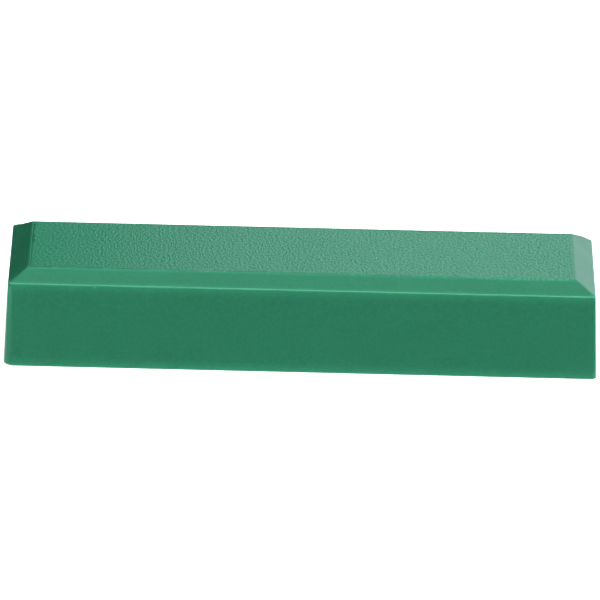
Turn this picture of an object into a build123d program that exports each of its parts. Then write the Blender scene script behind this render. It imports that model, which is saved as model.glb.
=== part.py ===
from build123d import *

import os
from math import radians, tan

# A bench sharpening stone: a smooth cast block with a grained working face bonded into its top.
# Millimetres. The origin is the middle of the underside, +X runs along the stone and +Z is up.

# The block, over the outline that it stands on
base_length = 150.0
base_width = 50.0
height = 24.8
draft_angle = 2.0  # degrees that the four sides lean in, so that the casting leaves its mould

# The bevels round the top, mitred at the corners
bevel_run = 5.0
bevel_drop = 3.05

# Corner radii in plan: the upright corners open out from almost sharp at the bevels to round at the base
base_corner_radius = 1.8
shoulder_corner_radius = 0.6
top_corner_radius = 0.4

# Small roundings where two faces meet
base_edge_radius = 0.5
shoulder_edge_radius = 0.5
rim_edge_radius = 1.2

# The seat for the working face, and what lies in it
rim_width = 0.4  # flat rim left between the bevels and the seat
seat_corner_radius = 0.8
facing_clearance = 0.15  # seam all round the facing
facing_thickness = 2.0
facing_edge_radius = 0.15
bond_thickness = 0.2
bond_margin = 0.6  # how far the adhesive stops short of the facing's edge

# Worked out from the dimensions above
shoulder_height = height - bevel_drop
draft_run = shoulder_height * tan(radians(draft_angle))
shoulder_length = base_length - 2 * draft_run
shoulder_width = base_width - 2 * draft_run
top_length = shoulder_length - 2 * bevel_run
top_width = shoulder_width - 2 * bevel_run
seat_length = top_length - 2 * rim_width
seat_width = top_width - 2 * rim_width
facing_length = seat_length - 2 * facing_clearance
facing_width = seat_width - 2 * facing_clearance
facing_corner_radius = seat_corner_radius - facing_clearance
seat_depth = facing_thickness + bond_thickness
seat_floor = height - seat_depth
bond_length = facing_length - 2 * bond_margin
bond_width = facing_width - 2 * bond_margin


# The cast block: four drafted sides below the shoulder, four bevels above it
with BuildPart() as cast_block:
    with BuildSketch(Plane.XY):
        RectangleRounded(base_length, base_width, base_corner_radius)
    with BuildSketch(Plane.XY.offset(shoulder_height)):
        RectangleRounded(shoulder_length, shoulder_width, shoulder_corner_radius)
    loft(ruled=True)

    with BuildSketch(Plane.XY.offset(shoulder_height)):
        RectangleRounded(shoulder_length, shoulder_width, shoulder_corner_radius)
    with BuildSketch(Plane.XY.offset(height)):
        RectangleRounded(top_length, top_width, top_corner_radius)
    loft(ruled=True)

    shoulder = cast_block.edges().filter_by_position(Axis.Z, shoulder_height, shoulder_height)
    fillet(shoulder, shoulder_edge_radius)
    underside = cast_block.faces().sort_by(Axis.Z)[0]
    fillet(underside.edges(), base_edge_radius)
    crown = cast_block.faces().sort_by(Axis.Z)[-1]
    fillet(crown.edges(), rim_edge_radius)

    with BuildSketch(Plane.XY.offset(height)):
        RectangleRounded(seat_length, seat_width, seat_corner_radius)
    extrude(amount=-seat_depth, mode=Mode.SUBTRACT)

# The adhesive, spread over the floor of the seat
with BuildPart() as bond_film:
    with BuildSketch(Plane.XY.offset(seat_floor)):
        RectangleRounded(bond_length, bond_width, facing_corner_radius)
    extrude(amount=bond_thickness)

# The working face: a thin plate on the adhesive, its top level with the rim of the seat
with BuildPart() as abrasive_facing:
    with BuildSketch(Plane.XY.offset(seat_floor + bond_thickness)):
        RectangleRounded(facing_length, facing_width, facing_corner_radius)
    extrude(amount=facing_thickness)
    working_face = abrasive_facing.faces().sort_by(Axis.Z)[-1]
    fillet(working_face.edges(), facing_edge_radius)


cast_block.part.label = "cast_block"
bond_film.part.label = "bond_film"
abrasive_facing.part.label = "abrasive_facing"

os.makedirs("parts", exist_ok=True)
for piece in (cast_block, bond_film, abrasive_facing):
    export_step(piece.part, f"parts/{piece.part.label}.step")
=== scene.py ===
import math

import bpy
import numpy as np
from mathutils import Matrix, Vector


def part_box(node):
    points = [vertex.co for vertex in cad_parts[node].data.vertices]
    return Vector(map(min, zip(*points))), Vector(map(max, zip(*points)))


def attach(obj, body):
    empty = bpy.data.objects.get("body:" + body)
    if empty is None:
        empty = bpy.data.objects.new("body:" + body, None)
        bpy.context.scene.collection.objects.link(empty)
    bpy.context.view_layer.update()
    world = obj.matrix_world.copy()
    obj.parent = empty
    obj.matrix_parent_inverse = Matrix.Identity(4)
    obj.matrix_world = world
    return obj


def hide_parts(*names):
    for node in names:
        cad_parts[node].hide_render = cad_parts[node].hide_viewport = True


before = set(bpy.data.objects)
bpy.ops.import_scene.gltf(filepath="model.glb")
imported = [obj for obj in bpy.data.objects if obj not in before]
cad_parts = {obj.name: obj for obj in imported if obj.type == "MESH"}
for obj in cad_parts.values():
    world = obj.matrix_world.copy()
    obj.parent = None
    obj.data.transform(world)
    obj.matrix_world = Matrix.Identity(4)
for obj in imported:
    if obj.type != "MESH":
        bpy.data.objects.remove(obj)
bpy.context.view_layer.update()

# Everything is in metres, in the CAD frame: +X along the stone, +Z up, the underside on z = 0.
MM = 0.001

# ---------------------------------------------------------------- sizes from the frame

block_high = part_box("cast_block")[1]
facing_low, facing_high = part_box("abrasive_facing")
seat_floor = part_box("bond_film")[0].z

# The design dimensions that the boxes don't give
DRAFT = math.radians(2.0)
BEVEL_RUN = 5.0 * MM
BEVEL_DROP = 3.05 * MM
RIM_WIDTH = 0.4 * MM
BASE_EDGE_RADIUS = 0.5 * MM
SHOULDER_EDGE_RADIUS = 0.5 * MM
RIM_EDGE_RADIUS = 1.2 * MM
SEAT_EDGE_RADIUS = 0.03 * MM
SEAT_CORNER_RADIUS = 0.8 * MM
FACING_CLEARANCE = 0.15 * MM
TOP_CORNER_RADIUS = 0.4 * MM

# Every line and sheet of noise has its own seed
BEADS_SEED, SWELLINGS_SEED, SHOULDER_LINE_SEED = 4, 5, 7
GRAIN_SEED = 11
LEFT_EDGE_SEED, LEFT_EDGE_FINE_SEED = 21, 22

# The corners aren't all alike: front left, front right, rear right, rear left.
# A flatness of 1 would make a corner a straight cut instead of an arc.
BASE_CORNER_RADII = np.array([2.4, 1.1, 1.6, 1.8]) * MM
SHOULDER_CORNER_RADII = np.array([0.9, 0.6, 1.0, 0.7]) * MM
CORNER_FLATNESS = (0.3, 0.0, 0.0, 0.2)

# A small bruise on the front shoulder
BRUISE_AT = -52.2 * MM
BRUISE_DEPTH = 0.14 * MM

# The burr that casting left along the front rim, and the stretch of the rim where it forms beads
BURR_HEIGHT = 0.075 * MM
BURR_FROM, BURR_TO = 22 * MM, 70 * MM
BURR_PITCH = 1.36 * MM

# Room left under the CAD's top for the burr, so that it doesn't go past the CAD box
LIP_ROOM = 0.06 * MM

height = block_high.z - LIP_ROOM
shoulder_height = block_high.z - BEVEL_DROP
draft_run = shoulder_height * math.tan(DRAFT)
# the rounded foot hides the corner of the base outline by this much
foot_trim = BASE_EDGE_RADIUS * (math.tan(DRAFT) + 1 / math.cos(DRAFT) - 1)
base_half = np.array([block_high.x + foot_trim, block_high.y + foot_trim])


# ---------------------------------------------------------------- small helpers

def smoothstep(low, high, value):
    """0 at low and 1 at high, with a smooth step between. It falls instead if low is the greater."""
    t = np.clip((value - low) / (high - low), 0, 1)
    return t * t * (3 - 2 * t)


def wander(along, length, step, seed):
    """Smooth noise of about unit size along a closed line, with features about step long."""
    count = max(4, round(length / step))
    knots = np.random.default_rng(seed).standard_normal(count)
    place = np.asarray(along) / length * count
    index = np.floor(place).astype(int)
    t = place - index
    t = t * t * (3 - 2 * t)
    return knots[index % count] * (1 - t) + knots[(index + 1) % count] * t


def grain_field(size, cell, finest, coarsest, seed):
    """A sheet of seeded noise of unit size, made of ripples between the finest and coarsest lengths."""
    columns, rows = (int(round(s / cell)) + 8 for s in size)
    noise = np.random.default_rng(seed).standard_normal((rows, columns))
    frequency = np.hypot(*np.meshgrid(np.fft.fftfreq(columns, cell), np.fft.fftfreq(rows, cell)))
    band = smoothstep(0.6 / coarsest, 1 / coarsest, frequency)
    band *= 1 - smoothstep(0.8 / finest, 1.3 / finest, frequency)
    sheet = np.fft.ifft2(np.fft.fft2(noise) * band).real
    return sheet / sheet.std()


def distances_along(line):
    """How far along a line of points each of them is."""
    return np.concatenate([[0], np.cumsum(np.hypot(*np.diff(line, axis=0).T))])


def sample(sheet, cell, x, y):
    """Reads a sheet of noise, centred on the origin, at the places x, y. Outside it, its edge is read."""
    rows, columns = sheet.shape
    column = np.clip(x / cell + columns / 2, 0, columns - 1.001)
    row = np.clip(y / cell + rows / 2, 0, rows - 1.001)
    i, j = column.astype(int), row.astype(int)
    s, t = column - i, row - j
    near = sheet[j, i] * (1 - s) + sheet[j, i + 1] * s
    far = sheet[j + 1, i] * (1 - s) + sheet[j + 1, i + 1] * s
    return near * (1 - t) + far * t


def strip_faces(rings, around, closed):
    """Quads between rings of points that were listed ring by ring."""
    first = np.arange(rings - 1)[:, None] * around
    step = np.arange(around if closed else around - 1)[None, :]
    after = (step + 1) % around
    quads = (first + step, first + after, first + around + after, first + around + step)
    return np.stack(quads, axis=-1).reshape(-1, 4).tolist()


def make_piece(name, points, faces, masks, material, node):
    """A smooth closed mesh that stands for a CAD node, with named masks on its points."""
    mesh = bpy.data.meshes.new(name)
    mesh.from_pydata(points.tolist(), [], faces)
    mesh.polygons.foreach_set("use_smooth", [True] * len(mesh.polygons))
    for mask_name, values in masks.items():
        mesh.attributes.new(mask_name, "FLOAT", "POINT").data.foreach_set("value", values)
    mesh.materials.append(material)
    mesh.update()
    piece = bpy.data.objects.new(name, mesh)
    bpy.context.scene.collection.objects.link(piece)
    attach(piece, "root")
    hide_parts(node)


# ---------------------------------------------------------------- materials

# Colours, each pair from the deeper to the paler
BLOCK_GREENS = (0.0246, 0.194, 0.110), (0.0264, 0.204, 0.116)
BLOCK_MOTTLE = (0.0350, 0.256, 0.147)
# painted glow and highlight colour for the block's edges, mixed in by the edge mask
EDGE_GLOW_PAINT = (0.078, 0.490, 0.292)
# greens with painted shade for the hollows of the grain, and the paler tops, partly wear and partly painted
# light
HOLLOW_SHADE_GREENS = (0.0210, 0.173, 0.097), (0.0234, 0.185, 0.104)
GRAIN_TOP_WEAR_AND_LIGHT = (0.0445, 0.326, 0.190)
ADHESIVE_GREENS = (0.010, 0.060, 0.036), (0.022, 0.100, 0.062)
TABLE_WHITES = (0.86, 0.86, 0.86), (0.88, 0.88, 0.88)

RESIN_IOR = 1.5
LIGHT_DEPTH = 2.0 * MM  # how far light soaks into the block
LIGHT_SHARES = (0.35, 1.0, 0.60)  # how much of that depth red, green and blue reach


class Nodes:
    """Builds one node material, with short calls for the nodes that are used here."""

    def __init__(self, name):
        self.material = bpy.data.materials.new(name)
        self.material.use_nodes = True
        self.tree = self.material.node_tree
        self.shader = self.tree.nodes["Principled BSDF"]
        self.place = self.tree.nodes.new("ShaderNodeTexCoord").outputs["Object"]

    def link(self, source, target):
        self.tree.links.new(source, target)

    def noise(self, feature, detail=2.0, roughness=0.5):
        """Noise whose features are about that many metres across."""
        node = self.tree.nodes.new("ShaderNodeTexNoise")
        node.inputs["Scale"].default_value = 1 / feature
        node.inputs["Detail"].default_value = detail
        node.inputs["Roughness"].default_value = roughness
        self.link(self.place, node.inputs["Vector"])
        return node.outputs["Fac"]

    def mask(self, name):
        """A mask that was stored on the mesh's points."""
        node = self.tree.nodes.new("ShaderNodeAttribute")
        node.attribute_name = name
        return node.outputs["Fac"]

    def scaled(self, value, from_low, from_high, to_low, to_high):
        """Stretches the first range of a value over the second, and clips what lies beyond it."""
        node = self.tree.nodes.new("ShaderNodeMapRange")
        limits = {"From Min": from_low, "From Max": from_high, "To Min": to_low, "To Max": to_high}
        for socket, number in limits.items():
            node.inputs[socket].default_value = number
        self.link(value, node.inputs["Value"])
        return node.outputs["Result"]

    def mix(self, amount, below, above):
        """Mixes two colours; each is a socket or a plain (r, g, b)."""
        node = self.tree.nodes.new("ShaderNodeMix")
        node.data_type = "RGBA"
        self.link(amount, node.inputs["Factor"])
        for socket, colour in ((node.inputs["A"], below), (node.inputs["B"], above)):
            if isinstance(colour, tuple):
                socket.default_value = (*colour, 1)
            else:
                self.link(colour, socket)
        return node.outputs["Result"]

    def bump(self, value, depth):
        """Relief of that depth in metres."""
        node = self.tree.nodes.new("ShaderNodeBump")
        node.inputs["Distance"].default_value = depth
        self.link(value, node.inputs["Height"])
        self.link(node.outputs["Normal"], self.shader.inputs["Normal"])


def block_material():
    """Smooth satin cast green: faint clouds and mottling, with a painted glow and painted highlights along
    the edges. Light soaks a little way in and comes out again."""
    n = Nodes("cast_green")
    clouds = n.scaled(n.noise(9 * MM, detail=3), 0.3, 0.7, 0, 1)
    mottle = n.scaled(n.noise(0.65 * MM), 0.35, 0.65, 0, 0.5)
    green = n.mix(mottle, n.mix(clouds, *BLOCK_GREENS), BLOCK_MOTTLE)
    # the edge mask mixes in the painted edge glow and painted highlights
    n.link(n.mix(n.mask("edge"), green, EDGE_GLOW_PAINT), n.shader.inputs["Base Color"])
    n.link(n.scaled(n.noise(6 * MM), 0.3, 0.7, 0.31, 0.35), n.shader.inputs["Roughness"])
    n.bump(n.noise(0.5 * MM), 0.006 * MM)
    n.shader.inputs["IOR"].default_value = RESIN_IOR
    n.shader.inputs["Subsurface Weight"].default_value = 1.0
    n.shader.inputs["Subsurface Radius"].default_value = LIGHT_SHARES
    n.shader.inputs["Subsurface Scale"].default_value = LIGHT_DEPTH
    return n.material


def facing_material():
    """Grained green: painted shade darkens the hollows, and the tops of the grain are paler, partly wear and
    partly painted light, and a little glossier.
    """
    n = Nodes("grained_green")
    clouds = n.scaled(n.noise(14 * MM, detail=3), 0.3, 0.7, 0, 1)
    grain = n.mask("grain")
    # the grain mask mixes painted shade into the hollows, and paler wear and painted light onto the tops
    n.link(n.mix(grain, n.mix(clouds, *HOLLOW_SHADE_GREENS), GRAIN_TOP_WEAR_AND_LIGHT), n.shader.inputs["Base Color"])
    n.link(n.scaled(grain, 0, 1, 0.42, 0.29), n.shader.inputs["Roughness"])
    n.bump(n.noise(0.18 * MM, roughness=0.6), 0.010 * MM)
    n.shader.inputs["IOR"].default_value = RESIN_IOR
    return n.material


def adhesive_material():
    """Cured adhesive: dark, glossy, with trapped bubbles that show as paler spots."""
    n = Nodes("cured_adhesive")
    bubbles = n.noise(1.2 * MM, detail=1)
    n.link(n.mix(n.scaled(bubbles, 0.5, 0.7, 0, 1), *ADHESIVE_GREENS), n.shader.inputs["Base Color"])
    n.link(n.scaled(bubbles, 0.3, 0.7, 0.18, 0.30), n.shader.inputs["Roughness"])
    n.bump(bubbles, 0.02 * MM)
    return n.material


def floor_material():
    """White studio table that glows, with the faintest unevenness."""
    n = Nodes("studio_table")
    n.link(n.mix(n.noise(60 * MM, detail=4), *TABLE_WHITES), n.shader.inputs["Base Color"])
    n.shader.inputs["Roughness"].default_value = 1.0
    n.shader.inputs["Specular IOR Level"].default_value = 0.0
    n.shader.inputs["Emission Color"].default_value = (1, 1, 1, 1)
    n.shader.inputs["Emission Strength"].default_value = TABLE_GLOW
    return n.material


# ---------------------------------------------------------------- the cast block

LONG_STEPS, SHORT_STEPS, CORNER_STEPS = 540, 180, 8
CORNERS = ((-1, -1), (1, -1), (1, 1), (-1, 1))


def rounded_corner(before, here, after, radius, steps):
    """Where a rounding of that radius leaves the line into a corner, its points, and where it meets the
    line out of the corner. The first two numbers of each row are the place, and the rest follow."""
    into, out = (here - before)[:2], (after - here)[:2]
    into_length, out_length = np.linalg.norm(into), np.linalg.norm(out)
    into, out = into / into_length, out / out_length
    turn = math.acos(np.clip(into @ out, -1, 1))
    setback = radius * math.tan(turn / 2)
    arrive = here + (before - here) * setback / into_length
    leave = here + (after - here) * setback / out_length
    side = math.copysign(1, into[0] * out[1] - into[1] * out[0])
    centre = arrive[:2] + side * radius * np.array([-into[1], into[0]])
    arc = []
    for step in range(1, steps):
        angle = side * turn * step / steps
        turned = np.array([[math.cos(angle), -math.sin(angle)], [math.sin(angle), math.cos(angle)]])
        row = arrive + (leave - arrive) * step / steps
        row[:2] = centre + turned @ (arrive[:2] - centre)
        arc.append(row)
    return arrive, arc, leave


def block_profile():
    """Rings of the block, from the underside up the side, over the bevel and down into the seat.
    Each row is the inset from the base outline, the height and the four corner radii."""
    rim_inset = draft_run + BEVEL_RUN
    seat_inset = rim_inset + RIM_WIDTH
    # inset, height, corner radii, rounding, steps in the rounding, rings on the way to the next point
    outline = [
        (4.0 * MM, 0, 0.3 * MM, 0, 0, 3),
        (0, 0, BASE_CORNER_RADII, BASE_EDGE_RADIUS, 5, 15),
        (draft_run, shoulder_height, SHOULDER_CORNER_RADII, SHOULDER_EDGE_RADIUS, 7, 8),
        (rim_inset, height, TOP_CORNER_RADIUS, RIM_EDGE_RADIUS, 6, 1),
        (seat_inset, height, SEAT_CORNER_RADIUS, SEAT_EDGE_RADIUS, 3, 3),
        (seat_inset, seat_floor, SEAT_CORNER_RADIUS, 0.1 * MM, 2, 2),
        (seat_inset + 1.0 * MM, seat_floor, 0.2 * MM, 0, 0, 0),
    ]
    corners = [np.array([inset, level, *np.broadcast_to(radii, 4)]) for inset, level, radii, *_ in outline]
    rows = []
    leave = corners[0]
    for i in range(1, len(corners)):
        rings = outline[i - 1][5]
        if i < len(corners) - 1:
            arrive, arc, next_leave = rounded_corner(*corners[i - 1:i + 2], *outline[i][3:5])
        else:
            arrive, arc, next_leave = corners[i], [], None
        for step in range(rings):
            t = 0.5 - 0.5 * math.cos(math.pi * step / rings)
            rows.append(leave * (1 - t) + arrive * t)
        rows.append(arrive)
        rows.extend(arc)
        leave = next_leave
    return np.array(rows)


def ring_outline(half, radii):
    """One closed ring: a rectangle with its own radius at each corner, from the front left corner along
    the front, the right end, the rear and the left end."""
    arcs = []
    for k, (side_x, side_y) in enumerate(CORNERS):
        centre = np.array([side_x * (half[0] - radii[k]), side_y * (half[1] - radii[k])])
        angles = math.pi * (1 + k / 2) + np.linspace(0, math.pi / 2, CORNER_STEPS + 1)
        arc = centre + radii[k] * np.stack([np.cos(angles), np.sin(angles)], axis=1)
        t = np.linspace(0, 1, CORNER_STEPS + 1)[:, None]
        chord = arc[0] * (1 - t) + arc[-1] * t
        arcs.append(arc + (chord - arc) * CORNER_FLATNESS[k])
    outline = []
    for k, arc in enumerate(arcs):
        steps = (LONG_STEPS, SHORT_STEPS)[k % 2]
        t = np.linspace(0, 1, steps + 1)[1:-1, None]
        outline += [arc, arc[-1] * (1 - t) + arcs[(k + 1) % 4][0] * t]
    return np.concatenate(outline)


class BlockShell:
    """The points of the block, ring by ring, and where the rings lie along its profile. x and y are views of
    the points, so they follow them when they are moved."""

    def __init__(self):
        self.profile = block_profile()
        outlines = [ring_outline(base_half - row[0], row[2:]) for row in self.profile]
        levels = [np.full(len(outline), row[1]) for outline, row in zip(outlines, self.profile)]
        self.points = np.stack([np.column_stack(ring) for ring in zip(outlines, levels)])
        self.x, self.y = self.points[..., 0], self.points[..., 1]
        self.rings, self.around = self.x.shape
        self.front = smoothstep(8 * MM, 6 * MM, self.y + base_half[1])

        self.travelled = distances_along(self.profile[:, :2])
        self.at_foot = self.travelled_at(0.15 * MM, 0.15 * MM)
        self.at_shoulder = self.travelled_at(draft_run, shoulder_height)
        self.at_rim = self.travelled_at(draft_run + BEVEL_RUN, height)
        self.at_mid_bevel = (self.at_shoulder + self.at_rim) / 2

        foot = outlines[0]
        self.along = distances_along(foot)
        self.length = self.along[-1] + np.hypot(*(foot[-1] - foot[0]))

    def travelled_at(self, inset, level):
        """How far along the profile a place is."""
        from_place = np.hypot(self.profile[:, 0] - inset, self.profile[:, 1] - level)
        return self.travelled[int(np.argmin(from_place))]

    def near_ring(self, place, reach):
        """1 at that place on the profile, fading away from it over that reach, for every point."""
        return np.exp(-((self.travelled[:, None] - place) / reach) ** 2) * np.ones(self.around)

    def wander_round(self, step, seed):
        """Noise round the block, with features about step long, the same on every ring."""
        return wander(self.along, self.length, step, seed)


def raise_burr(shell):
    """Raises the burr on the front rim: a row of beads towards the right, and soft swellings elsewhere.
    Gives back its strength at every point."""
    ripple = np.sin(2 * math.pi * shell.x / BURR_PITCH + 4 * shell.wander_round(2.2 * MM, BEADS_SEED))
    begins = smoothstep(BURR_FROM, BURR_TO - 12 * MM, shell.x)
    ends = smoothstep(BURR_TO, BURR_TO - 3 * MM, shell.x)
    beads = smoothstep(-0.8, 0.5, ripple) * begins * ends
    swellings = 0.7 * smoothstep(-0.2, 1.5, shell.wander_round(0.8 * MM, SWELLINGS_SEED))
    on_rim = shell.front * shell.near_ring(shell.at_rim - 0.30 * MM, 0.35 * MM)
    burr = on_rim * np.maximum(beads, swellings)
    shell.points[..., 2] += burr * BURR_HEIGHT
    return burr


def press_bruise(shell):
    """Presses the bruise into the front shoulder. Gives back 1 at its place along the front, at every
    height, fading away to both sides."""
    at_bruise = np.exp(-((shell.x - BRUISE_AT) / (0.55 * MM)) ** 2) * shell.front
    bruise = at_bruise * shell.near_ring(shell.at_shoulder - 0.35 * MM, 0.45 * MM)
    shell.points[..., 1] += bruise * BRUISE_DEPTH
    return at_bruise


def fill_rear_corners(shell):
    """Fills out the bevels towards the rear right corner, and the shoulder towards the rear left one."""
    for side, place, fullness in (
        (1, shell.at_mid_bevel, 0.22 * MM),
        (-1, shell.at_shoulder, 0.32 * MM),
    ):
        to_corner = np.hypot(base_half[0] - side * shell.x, base_half[1] - shell.y)
        near_corner = 1 - smoothstep(3 * MM, 14 * MM, to_corner)
        shell.points[..., 2] += fullness * near_corner * shell.near_ring(place, 1.9 * MM)


def front_left_painted_glow(points):
    """Painted glow: 1 along the upright corner at the front left, fading away over the front and the left
    end.
    """
    lean = math.tan(DRAFT) * points[..., 2]
    from_left = points[..., 0] + base_half[0] - lean
    from_front = points[..., 1] + base_half[1] - lean
    low = 1 - points[..., 2] / shoulder_height
    reach = 1.6 * MM + 0.6 * MM * low
    near_left = 1 - smoothstep(0.1, 1.0, from_left / reach)
    near_front = 1 - smoothstep(1.2 * MM, 3.5 * MM, from_front)
    return near_left * near_front * smoothstep(0, 0.05, low)


def painted_edge_glow(shell, burr, at_bruise):
    """How much painted light each point gets: a painted glow along the foot and at the front left corner,
    and painted highlights along the shoulder, the rim, the burr's beads and the bruise.
    """
    near, front = shell.near_ring, shell.front
    # the painted highlight along the shoulder is a little uneven along its length
    shoulder_line_unevenness = 0.92 + 0.08 * shell.wander_round(2.5 * MM, SHOULDER_LINE_SEED)
    above_shoulder = shell.points[..., 2] > shoulder_height
    # each cause is a painted glow or painted highlight along its own stretch of the profile
    causes = [
        0.30 * near(shell.at_foot, 1.4 * MM),
        0.47 * near(shell.at_shoulder - 0.12 * MM, 0.30 * MM) * shoulder_line_unevenness,
        0.22 * near(shell.at_shoulder - 0.40 * MM, 1.1 * MM) * front,
        0.05 * near(shell.at_mid_bevel, 4.0 * MM) * front * above_shoulder,
        0.22 * near(shell.at_rim - 0.45 * MM, 0.50 * MM) * front,
        0.20 * near(shell.at_rim + 0.20 * MM, 0.30 * MM) * (shell.x > 0),
        0.70 * burr,
        0.65 * near(shell.at_shoulder - 0.55 * MM, 0.40 * MM) * at_bruise,
        # painted glow on the front left upright corner
        0.82 * front_left_painted_glow(shell.points),
    ]
    return np.clip(np.maximum.reduce(causes), 0, 1)


def cast_block():
    """The block with its seat, its burr, its bruise and the painted glow and highlights along its edges."""
    shell = BlockShell()
    burr = raise_burr(shell)
    at_bruise = press_bruise(shell)
    fill_rear_corners(shell)
    # the edge mask holds the painted glow and painted highlights
    masks = {"edge": painted_edge_glow(shell, burr, at_bruise).ravel()}
    faces = strip_faces(shell.rings, shell.around, closed=True)
    faces.append(list(range(shell.around - 1, -1, -1)))
    faces.append(list(range((shell.rings - 1) * shell.around, shell.rings * shell.around)))
    points = shell.points.reshape(-1, 3)
    make_piece("block_body", points, faces, masks, block_material(), "cast_block")


# ---------------------------------------------------------------- the grained working face

GRAIN_CELL = 0.18 * MM
GRAIN_DEPTH = 0.138 * MM
GRAIN_ROOM = 0.01 * MM  # left above the tops of the grain
FINEST_GRAIN, COARSEST_GRAIN = 0.38 * MM, 1.7 * MM
GRAIN_SQUEEZE = 0.62  # the grain is this much finer along the stone than across it
SEAM = 0.02 * MM  # left open between the facing and its seat
WALL_DEPTH = 1.0 * MM  # how far down the walls their first ring of points is
LEFT_EDGE_WIDTH = 0.28 * MM  # what is rounded off at the left end, where it is narrowest
LEFT_EDGE_DEPTH = 0.42  # how deep the rounded left edge is for its width


def stations(half, step):
    """Places across a plate, with a few closer together at both edges."""
    inner = np.linspace(-half + 2 * step, half - 2 * step, int(round((2 * half - 4 * step) / step)) + 1)
    close = np.array([0, 0.03, 0.08, 0.15, 0.24]) * MM
    return np.concatenate([-half + close, inner, (half - close)[::-1]])


def left_edge_width(y, width):
    """How much of the facing's left edge is rounded off: little towards the front, and more, raggedly,
    towards the rear."""
    along = y + width / 2
    rough = wander(along, width, 1.3 * MM, LEFT_EDGE_SEED)
    rough += 0.5 * wander(along, width, 0.5 * MM, LEFT_EDGE_FINE_SEED)
    ragged = np.clip(0.60 * MM + 0.25 * MM * rough, LEFT_EDGE_WIDTH, 1.2 * MM)
    return LEFT_EDGE_WIDTH + (ragged - LEFT_EDGE_WIDTH) * smoothstep(-1 * MM, 2 * MM, y)


def round_corners(x, y, half):
    """Pulls in the corners of a grid of places, so that its outline is rounded like the seat's."""
    straight = half - SEAT_CORNER_RADIUS
    over_x, over_y = np.abs(x) - straight[0], np.abs(y) - straight[1]
    in_corner = (over_x > 0) & (over_y > 0)
    squeeze = np.maximum(over_x, over_y) / np.maximum(np.hypot(over_x, over_y), 1e-9)
    rounded_x = np.sign(x) * (straight[0] + over_x * squeeze)
    rounded_y = np.sign(y) * (straight[1] + over_y * squeeze)
    return np.where(in_corner, rounded_x, x), np.where(in_corner, rounded_y, y)


def close_below(x, y, z, levels):
    """The points and faces of a closed plate: a grid for its top, walls down through the levels, and a
    flat bottom. The grid's own points come first."""
    rows, columns = x.shape
    grid = np.arange(rows * columns).reshape(rows, columns)
    above = np.concatenate([grid[0, :-1], grid[:-1, -1], grid[-1, :0:-1], grid[:0:-1, 0]])
    points = np.stack([x, y, z], axis=-1).reshape(-1, 3)
    ring = points[above]
    faces = strip_faces(rows, columns, closed=False)
    for level in levels:
        ring[:, 2] = level
        below = np.arange(len(points), len(points) + len(ring))
        faces += np.stack([above, below, np.roll(below, -1), np.roll(above, -1)], axis=1).tolist()
        points = np.concatenate([points, ring])
        above = below
    faces.append(above[::-1].tolist())
    return points, faces


def abrasive_facing():
    """The grained plate. Its grain dies out at the right end, which is level with the rim, and runs almost
    up to the front and rear edges. Its left edge is rounded off."""
    half = np.array([facing_high.x, facing_high.y]) + FACING_CLEARANCE - SEAM
    top = facing_high.z - GRAIN_DEPTH - GRAIN_ROOM
    x, y = np.meshgrid(stations(half[0], GRAIN_CELL), stations(half[1], 2 * GRAIN_CELL))
    sheet = grain_field(2 * half, GRAIN_CELL, FINEST_GRAIN, COARSEST_GRAIN, GRAIN_SEED)
    grain = np.tanh(0.9 * sample(sheet, GRAIN_CELL, x, y * GRAIN_SQUEEZE))

    # 1 along the edges, where the grain has died out
    at_end = 1 - smoothstep(0.08 * MM, 0.55 * MM, half[0] - np.abs(x))
    at_side = 1 - smoothstep(0.05 * MM, 0.30 * MM, half[1] - np.abs(y))
    at_edge = np.maximum(at_end, at_side)
    x, y = round_corners(x, y, half)
    at_right = (at_end > 0) & (x > 0)
    along = x / half[0]
    border = np.where(at_right, height - 0.004 * MM, top)
    relief = GRAIN_DEPTH * (0.69 + 0.31 * along)  # deeper towards the right
    z = (top + relief * grain) * (1 - at_edge) + border * at_edge
    edge_width = left_edge_width(y, 2 * half[1])
    z -= LEFT_EDGE_DEPTH * edge_width * np.clip(1 - (x + half[0]) / edge_width, 0, 1) ** 2

    # The tops of the grain are paler, partly wear and partly painted light, the hollows carry painted shade,
    # and the right-hand half is painted a little paler, where the sheen falls
    grain_wear_and_shade = smoothstep(-1.0, 1.0, grain) + 0.09 * along
    # along the edges: a painted dark line of shade at the seam on the front, rear and left, and paler along
    # the right end
    grain_wear_and_shade = grain_wear_and_shade * (1 - at_edge) + np.where(at_right, 0.9, 0.1) * at_edge

    points, faces = close_below(x, y, z, (height - WALL_DEPTH, facing_low.z))
    mask = np.full(len(points), 0.3)
    mask[:grain_wear_and_shade.size] = np.clip(grain_wear_and_shade, 0, 1).ravel()
    masks = {"grain": mask}
    make_piece("grained_face", points, faces, masks, facing_material(), "abrasive_facing")


def dress_bond_film():
    """The adhesive keeps its CAD shape and gets its material."""
    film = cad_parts["bond_film"]
    film.data.materials.clear()
    film.data.materials.append(adhesive_material())


# ---------------------------------------------------------------- stage, light and camera

# The suns, each with the direction towards it
KEY_DIRECTION, KEY_STRENGTH = (0.431, -0.602, 0.672), 4.32  # in front, on the right, 42 degrees up
STRIP_DIRECTION, STRIP_STRENGTH = (0, -0.7, 0.7), 1.1
SUN_WIDTH = 30  # degrees across

# Two cards that stand behind the stone on the right and face forwards: centre, width and height, radiance
REAR_CARD = (0.25, 0.42, 0.22), (0.58, 0.40), 0.72
SIDE_CARD = (0.31, 0.41, 0.08), (0.38, 0.16), 0.42
CARD_COLOUR = (0.92, 0.99, 1.09)

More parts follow.
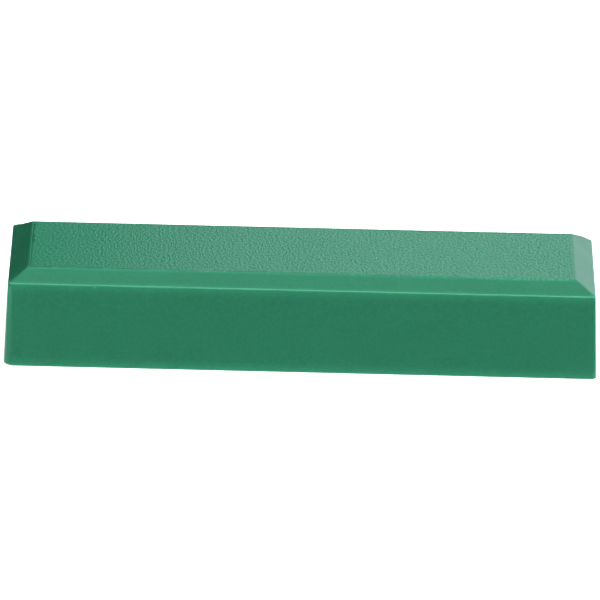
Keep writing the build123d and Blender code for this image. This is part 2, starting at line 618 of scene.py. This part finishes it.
# Patches of the room's light: direction, angle up to which each is full, angle where it ends, in degrees
SCRIM = (0, -0.2, 1), 20, 65
TABLE_BELOW = (0, 0, -1), 25, 74
TABLE_BEHIND = (0, 1, -0.25), 40, 82
TABLE_LEFT = (-0.60, -0.25, -0.76), 8, 38
LOWER_HALF = (0, 0, -1), 68, 89
SCRIM_RADIANCE = 0.33
BELOW_RADIANCE = 0.55
BEHIND_RADIANCE = 1.6
LEFT_RADIANCE = 2.0

TABLE_GLOW = 1.0  # keeps the table pure white, even in the stone's shadow
TABLE_SIZE = 14.0
TABLE_CELLS = 28
TABLE_LEVEL = -0.02 * MM  # a hair below the stone


def add_floor():
    """The white table. What the stone gets from it comes from the world's lower half, where it can be
    shaped, so the table itself is hidden from the stone and blocks no light."""
    line = np.linspace(-TABLE_SIZE / 2, TABLE_SIZE / 2, TABLE_CELLS + 1)
    x, y = np.meshgrid(line, line)
    points = np.stack([x, y, np.full_like(x, TABLE_LEVEL)], axis=-1).reshape(-1, 3)
    mesh = bpy.data.meshes.new("floor")
    mesh.from_pydata(points.tolist(), [], strip_faces(len(line), len(line), closed=False))
    mesh.materials.append(floor_material())
    floor = bpy.data.objects.new("floor", mesh)
    bpy.context.scene.collection.objects.link(floor)
    floor.visible_diffuse = False
    floor.visible_glossy = False
    floor.visible_shadow = False


def add_sun(name, towards, strength, is_highlight):
    """A far soft light that shines from the given direction. A highlight is only seen reflected in the
    satin faces, and any other sun lights them without a glare."""
    lamp = bpy.data.lights.new(name, "SUN")
    lamp.energy = strength
    lamp.angle = math.radians(SUN_WIDTH)
    light = bpy.data.objects.new(name, lamp)
    light.rotation_euler = Vector(towards).to_track_quat("Z", "Y").to_euler()
    light.visible_glossy = is_highlight
    light.visible_diffuse = not is_highlight
    bpy.context.scene.collection.objects.link(light)


def add_card(name, centre, size, radiance):
    """A glowing white card that faces forwards, seen only by its light and its reflection."""
    lamp = bpy.data.lights.new(name, "AREA")
    lamp.shape = "RECTANGLE"
    lamp.size, lamp.size_y = size
    lamp.energy = radiance * math.pi * size[0] * size[1]
    lamp.color = CARD_COLOUR
    light = bpy.data.objects.new(name, lamp)
    light.location = centre
    light.rotation_euler = Vector((0, 1, 0)).to_track_quat("Z", "Y").to_euler()
    light.visible_camera = False
    bpy.context.scene.collection.objects.link(light)


def light_world():
    """The room around the stone: a pale scrim overhead, and below it the white table, which is brightest
    on the left and towards the rear. All the rest is dark."""
    world = bpy.data.worlds.new("studio")
    world.use_nodes = True
    tree = world.node_tree
    direction = tree.nodes.new("ShaderNodeTexCoord").outputs["Generated"]

    def calculate(operation, first, second):
        node = tree.nodes.new("ShaderNodeMath")
        node.operation = operation
        for socket, value in zip(node.inputs, (first, second)):
            if isinstance(value, (int, float)):
                socket.default_value = value
            else:
                tree.links.new(value, socket)
        return node.outputs["Value"]

    def patch(towards, full_angle, end_angle):
        """1 within the first angle of a direction, and smoothly down to 0 at the second."""
        closeness = tree.nodes.new("ShaderNodeVectorMath")
        closeness.operation = "DOT_PRODUCT"
        closeness.inputs[1].default_value = Vector(towards).normalized()
        tree.links.new(direction, closeness.inputs[0])
        fade = tree.nodes.new("ShaderNodeMapRange")
        fade.interpolation_type = "SMOOTHSTEP"
        fade.inputs["From Min"].default_value = math.cos(math.radians(end_angle))
        fade.inputs["From Max"].default_value = math.cos(math.radians(full_angle))
        tree.links.new(closeness.outputs["Value"], fade.inputs["Value"])
        return fade.outputs["Result"]

    scrim = calculate("MULTIPLY", patch(*SCRIM), SCRIM_RADIANCE)
    below = calculate("MULTIPLY", patch(*TABLE_BELOW), BELOW_RADIANCE)
    behind = calculate("MULTIPLY", patch(*TABLE_BEHIND), BEHIND_RADIANCE)
    behind = calculate("MULTIPLY", behind, patch(*LOWER_HALF))
    left = calculate("MULTIPLY", patch(*TABLE_LEFT), LEFT_RADIANCE)
    table = calculate("ADD", calculate("ADD", below, behind), left)
    background = tree.nodes["Background"]
    background.inputs["Color"].default_value = (1, 1, 1, 1)
    tree.links.new(calculate("ADD", scrim, table), background.inputs["Strength"])
    bpy.context.scene.world = world


CAMERA_DISTANCE = 2.834
VIEW_WIDTH = 152.8 * MM  # what the frame takes in across the stone
CAMERA_ELEVATION = math.radians(17.785)
CAMERA_AZIMUTH = math.radians(-0.243)
CAMERA_ROLL = math.radians(1.430)
AIM_RIGHT, AIM_UP = -0.32 * MM, -0.98 * MM  # from the middle of the stone


def add_camera():
    """The camera, far off with a long lens, a little above the stone and rolled slightly."""
    back = Vector((
        math.sin(CAMERA_AZIMUTH) * math.cos(CAMERA_ELEVATION),
        -math.cos(CAMERA_AZIMUTH) * math.cos(CAMERA_ELEVATION),
        math.sin(CAMERA_ELEVATION),
    ))
    level = Vector((math.cos(CAMERA_AZIMUTH), math.sin(CAMERA_AZIMUTH), 0))
    upright = back.cross(level)
    right = level * math.cos(CAMERA_ROLL) + upright * math.sin(CAMERA_ROLL)
    up = upright * math.cos(CAMERA_ROLL) - level * math.sin(CAMERA_ROLL)
    middle = Vector((0, 0, block_high.z / 2))
    data = bpy.data.cameras.new("camera")
    data.sensor_width = 36.0
    data.lens = data.sensor_width * CAMERA_DISTANCE / VIEW_WIDTH
    data.clip_end = 50.0
    camera = bpy.data.objects.new("camera", data)
    camera.matrix_world = Matrix((right, up, back)).transposed().to_4x4()
    camera.location = middle + back * CAMERA_DISTANCE + right * AIM_RIGHT + up * AIM_UP
    bpy.context.scene.collection.objects.link(camera)
    bpy.context.scene.camera = camera


add_camera()
add_floor()
light_world()
add_sun("key", KEY_DIRECTION, KEY_STRENGTH, is_highlight=False)
add_sun("front_strip", STRIP_DIRECTION, STRIP_STRENGTH, is_highlight=True)
add_card("rear_card", *REAR_CARD)
add_card("side_card", *SIDE_CARD)
cast_block()
abrasive_facing()
dress_bond_film()

bpy.context.scene.view_settings.view_transform = "Standard"
